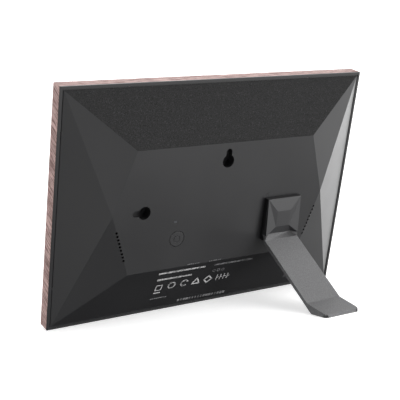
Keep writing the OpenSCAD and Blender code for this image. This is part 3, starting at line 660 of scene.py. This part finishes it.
class LabelPrint(PieceOperator, bpy.types.Operator):
    """Prints the label: rows of dashes for its lines, and plain signs."""

    bl_idname = "photoframe.label"
    bl_label = "Printed label"

    # Lines of print: left end and height off the plateau's middle, count of dashes, their pitch
    # and height, seed, and whether the ink is faint. Lengths are in millimetres.
    LINES = (
        ("label_line_name", -40.0, -42.8, 32, 1.06, 1.25, 3, False),
        ("label_line_rating", -39.5, -48.2, 23, 1.10, 1.25, 5, False),
        ("label_line_type", 0.6, -42.8, 27, 1.11, 1.3, 8, True),
        ("label_line_small", -39.0, -64.6, 9, 1.35, 0.8, 11, True),
        ("label_line_serial", -17.0, -70.2, 17, 2.18, 1.9, 13, True),
        ("label_line_faint_left", -21.0, -38.6, 7, 1.3, 0.5, 17, True),
        ("label_line_faint_right", -5.0, -38.6, 7, 1.3, 0.5, 19, True),
    )

    def make(self, scene):
        sizes = scene.label_sizes
        ink = printed_ink("label ink", sizes.ink)
        faint = printed_ink("faint label ink", sizes.faint_ink)
        surface = housing_surface()
        tree = dash_tree()
        for name, left, up, count, pitch, height, seed, is_faint in self.LINES:
            inputs = {
                "Count": count,
                "Pitch": pitch * MM,
                "Height": height * MM,
                "Least fill": 0.3,
                "Depth": sizes.ink_height * 2,
                "Seed": seed,
                "Ink": faint if is_faint else ink,
            }
            self.keep(grown(tree, name, inputs), name, left * MM, up * MM, surface)
        for name, left, up, shape, is_faint in self.signs(sizes):
            mesh = flat_strokes(name, shape, sizes.ink_height)
            mesh.materials.append(faint if is_faint else ink)
            self.keep(mesh, name, left * MM, up * MM, surface)

    @staticmethod
    def keep(mesh, name, left, up, surface):
        """Makes the finished mesh a piece on the housing."""
        laid_on_housing(mesh, left, up, surface)
        piece = bpy.data.objects.new(name, mesh)
        bpy.context.scene.collection.objects.link(piece)
        mesh.name = name
        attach(piece, "frame")

    @staticmethod
    def signs(sizes):
        """Plain shapes: name, left and height in millimetres, strokes, and whether it is faint."""
        tall, thin, bold = sizes.sign, sizes.stroke, sizes.stroke * 1.9
        dot, half, post_pitch = tall * 0.19, tall * 0.42, 0.0027
        places = [step * post_pitch for step in range(4)]
        posts = [((x, -half), (x, half), thin) for x in places]
        rungs = [((x, 0.0), (x + 0.55 * post_pitch, 0.0), thin) for x in places]
        bar = [((-0.002, 0), (0.002, 0), bold)]
        return (
            ("label_sign_square", -36.5, -55.3, outline(4, tall * 0.56, thin, 45), False),
            ("label_sign_bar", -36.5, -59.6, bar, False),
            ("label_sign_ring", -27.2, -54.8, outline(20, tall * 0.45, bold, 0), False),
            ("label_sign_arch", -18.0, -54.8, outline(20, tall * 0.45, bold, 0)[2:17], False),
            ("label_sign_triangle", -9.0, -55.4, outline(3, tall * 0.6, bold, 90), False),
            ("label_sign_diamond", -0.2, -55.0, outline(4, tall * 0.56, bold, 0), False),
            ("label_sign_posts", 6.6, -54.8, posts + rungs, False),
            ("label_sign_dot_left", 1.8, -48.0, outline(8, dot, thin * 0.7, 0), True),
            ("label_sign_dot_middle", 5.2, -48.0, outline(8, dot, thin * 1.3, 0), True),
            ("label_sign_dot_right", 8.6, -48.0, outline(8, dot, thin * 0.7, 0), True),
        )


def outline(sides, radius, stroke, turn):
    """The strokes of a regular outline, as ends and line width."""
    angles = [math.radians(turn) + 2 * math.pi * i / sides for i in range(sides)]
    corners = [(radius * math.cos(around), radius * math.sin(around)) for around in angles]
    return [(corners[i], corners[(i + 1) % sides], stroke) for i in range(sides)]


def flat_strokes(name, strokes, rise):
    """A mesh of flat bars, one for each stroke.

    Each is longer by half its width at either end, so that corners close.
    """
    build = bmesh.new()
    for start, end, width in strokes:
        start, end = Vector((*start, 0)), Vector((*end, 0))
        along = (end - start).normalized() * width / 2
        side = Vector((-along.y, along.x, 0))
        start, end = start - along, end + along
        corners = [start - side, end - side, end + side, start + side]
        lift = Vector((0, 0, rise))
        low = [build.verts.new(corner - lift) for corner in corners]
        high = [build.verts.new(corner + lift) for corner in corners]
        build.faces.new(high)
        build.faces.new(reversed(low))
        for i in range(4):
            build.faces.new((low[i], low[(i + 1) % 4], high[(i + 1) % 4], high[i]))
    mesh = bpy.data.meshes.new(name)
    build.to_mesh(mesh)
    build.free()
    return mesh


# ---- Stage ----


def toward(azimuth, elevation):
    """The direction in which something at this azimuth and elevation lies."""
    ring = math.cos(elevation)
    return Vector((ring * math.sin(azimuth), -ring * math.cos(azimuth), math.sin(elevation)))


def facing(place, aim, roll):
    """The matrix of a camera at place that looks at aim."""
    turn = (aim - place).to_track_quat("-Z", "Y").to_matrix().to_4x4()
    return Matrix.Translation(place) @ turn @ Matrix.Rotation(roll, 4, "Z")


# Soft sources all round, as azimuth, elevation and strength. The azimuth runs as the camera's.
SOFT_SOURCES = (
    (290, 0, 6.7),  # Low, on the stand's side and in front
    (250, 0, 0.9),  # Low, on the stand's side
    (215, 0, 6.0),  # Low, on the stand's side and behind
    (305, 60, 2.0),  # Overhead, in front
    (235, 60, 2.6),  # Overhead, behind
    (340, 30, 2.5),  # Before the screen
    (200, 30, 1.1),  # Behind the frame
    (160, -30, 1.3),  # Behind the frame, from below
    (65, 10, 4.6),  # Along the foil of the far side
    (100, 20, 0.9),  # Square to the far side
)
TIGHTNESS = 14.0  # How fast a source fades off its middle
LOW_LIGHT = 0.02  # What comes from everywhere

AIM = (0.01759, 0.00408)  # What the camera looks at, across and up from the plateau's middle
FLOOR_GLOW = 0.55
TENT_GLOW = 1.0


def soft_surroundings():
    """A world made of the soft sources, each fading with the angle from its middle."""
    world = bpy.data.worlds.new("soft surroundings")
    world.use_nodes = True
    tree = world.node_tree
    link = tree.links.new
    direction = tree.nodes.new("ShaderNodeTexCoord").outputs["Generated"]
    total = None
    for azimuth, elevation, strength in SOFT_SOURCES:
        near = tree.nodes.new("ShaderNodeVectorMath")
        near.operation = "DOT_PRODUCT"
        link(direction, near.inputs[0])
        near.inputs[1].default_value = toward(math.radians(azimuth), math.radians(elevation))
        fall = tree.nodes.new("ShaderNodeMath")
        fall.operation = "MULTIPLY_ADD"
        link(near.outputs["Value"], fall.inputs[0])
        fall.inputs[1].default_value = TIGHTNESS
        fall.inputs[2].default_value = -TIGHTNESS
        glow = tree.nodes.new("ShaderNodeMath")
        glow.operation = "EXPONENT"
        link(fall.outputs[0], glow.inputs[0])
        gather = tree.nodes.new("ShaderNodeMath")
        gather.operation = "MULTIPLY_ADD"
        link(glow.outputs[0], gather.inputs[0])
        gather.inputs[1].default_value = strength
        if total is None:
            gather.inputs[2].default_value = LOW_LIGHT
        else:
            link(total, gather.inputs[2])
        total = gather.outputs[0]
    link(total, tree.nodes["Background"].inputs["Strength"])
    tree.nodes["Background"].inputs["Color"].default_value = (1, 1, 1, 1)
    bpy.context.scene.world = world


def seen_only(piece):
    """Lets the camera see a stage piece, and keeps its light and shade off the object."""
    piece.visible_diffuse = piece.visible_glossy = piece.visible_transmission = False
    piece.visible_shadow = False


def paper_white(name, glow):
    """Matt white paper or cloth with a faint tooth, which glows like a light table."""
    mix = Recipe(name)
    tooth = mix.noise(500, None, 3.0)
    base = mix.blend(tooth, (0.86, 0.86, 0.86), (0.90, 0.90, 0.90))
    relief = mix.bump(tooth, 0.00003, 0.2)
    white = (1, 1, 1, 1)
    return mix.finish(base, 0.9, relief, Emission_Color=white, Emission_Strength=glow)


class StageSetup(PieceOperator, bpy.types.Operator):
    """Sets the light, the floor and the camera."""

    bl_idname = "photoframe.stage"
    bl_label = "Stage"

    def make(self, scene):
        sizes = scene.stage_settings
        half = sizes.floor_size / 2
        soft_surroundings()
        scene.view_settings.view_transform = "Standard"
        self.floor(half)
        self.backdrop(half)
        self.camera(scene, sizes)

    @staticmethod
    def floor(half):
        """A square of paper under the frame."""
        corners = [(-half, -half, 0), (half, -half, 0), (half, half, 0), (-half, half, 0)]
        mesh = bpy.data.meshes.new("floor")
        mesh.from_pydata(corners, [], [(0, 1, 2, 3)])
        mesh.materials.append(paper_white("floor paper", FLOOR_GLOW))
        floor = bpy.data.objects.new("floor", mesh)
        bpy.context.scene.collection.objects.link(floor)
        seen_only(floor)

    @staticmethod
    def backdrop(reach):
        """A white tent round the floor."""
        tent = bmesh.new()
        bmesh.ops.create_icosphere(tent, subdivisions=3, radius=reach)
        bmesh.ops.reverse_faces(tent, faces=tent.faces)
        mesh = bpy.data.meshes.new("tent")
        tent.to_mesh(mesh)
        tent.free()
        mesh.materials.append(paper_white("tent cloth", TENT_GLOW))
        cloth = bpy.data.objects.new("tent", mesh)
        bpy.context.scene.collection.objects.link(cloth)
        seen_only(cloth)

    @staticmethod
    def camera(scene, sizes):
        """The camera behind the frame."""
        target = on_panel(*AIM)
        line_of_sight = toward(sizes.camera_azimuth, sizes.camera_elevation)
        data = bpy.data.cameras.new("camera")
        data.lens = sizes.lens
        camera = bpy.data.objects.new("camera", data)
        place = target + line_of_sight * sizes.camera_distance
        camera.matrix_world = facing(place, target, -sizes.camera_roll)
        scene.collection.objects.link(camera)
        scene.camera = camera


class PhotoFramePanel(bpy.types.Panel):
    """Lists the pieces of the photo frame."""

    bl_idname = "VIEW3D_PT_photoframe"
    bl_label = "Photo frame"
    bl_space_type = "VIEW_3D"
    bl_region_type = "UI"
    bl_category = "Photo frame"

    def draw(self, context):
        for operator in OPERATORS:
            self.layout.operator(operator.bl_idname)


GROUPS = {
    "frame_finishes": FrameFinishes,
    "label_sizes": LabelSizes,
    "stage_settings": StageSettings,
}
OPERATORS = (
    SurroundFinish,
    ScreenFinish,
    HousingFinish,
    StandFinish,
    InsidesFinish,
    LabelPrint,
    StageSetup,
)


def register():
    for name, group in GROUPS.items():
        bpy.utils.register_class(group)
        setattr(bpy.types.Scene, name, bpy.props.PointerProperty(type=group))
    for operator in OPERATORS:
        bpy.utils.register_class(operator)
    bpy.utils.register_class(PhotoFramePanel)


def unregister():
    bpy.utils.unregister_class(PhotoFramePanel)
    for operator in reversed(OPERATORS):
        bpy.utils.unregister_class(operator)
    for name, group in reversed(GROUPS.items()):
        delattr(bpy.types.Scene, name)
        bpy.utils.unregister_class(group)


def main():
    register()
    for operator in OPERATORS:
        group, action = operator.bl_idname.split(".")
        getattr(getattr(bpy.ops, group), action)()


if __name__ == "__main__":
    main()
